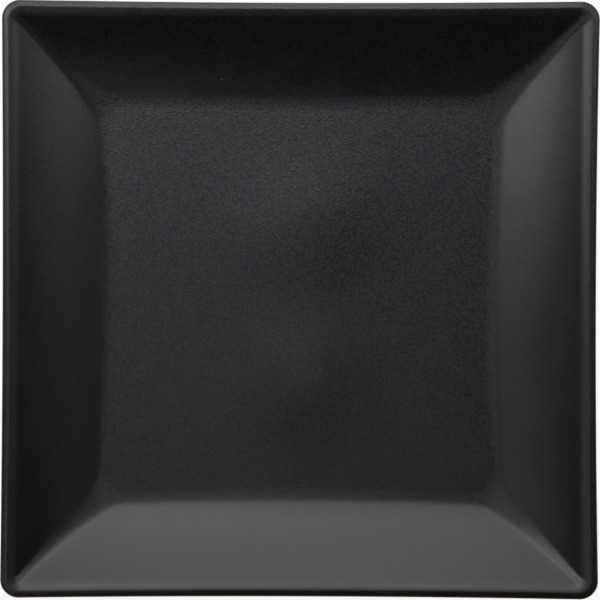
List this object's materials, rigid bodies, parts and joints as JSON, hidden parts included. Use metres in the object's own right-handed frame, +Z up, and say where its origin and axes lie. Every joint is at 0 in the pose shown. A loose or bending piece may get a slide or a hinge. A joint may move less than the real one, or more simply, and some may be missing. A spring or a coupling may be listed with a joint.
{
  "type": "square plate",
  "caption": "Square dinner plate in matte black glazed stoneware: flat square well, concave mitred walls, rounded lip and a bare foot ring to stand on.",
  "frame": {"origin": "middle of the plane that the foot ring stands on, under the centre of the plate", "axes": "+Z up, out of the well; +X and +Y square to the sides"},
  "size_m": [0.254, 0.254, 0.026],
  "materials": {
    "fired_stoneware": "matte",
    "matte_black_glaze": "satin",
    "matte_black_base_glaze": "satin"
  },
  "bodies": {
    "root": {"stoneware_body": "fired_stoneware", "glaze_coat": "matte_black_glaze", "base_glaze": "matte_black_base_glaze"}
  },
  "joints": []
}
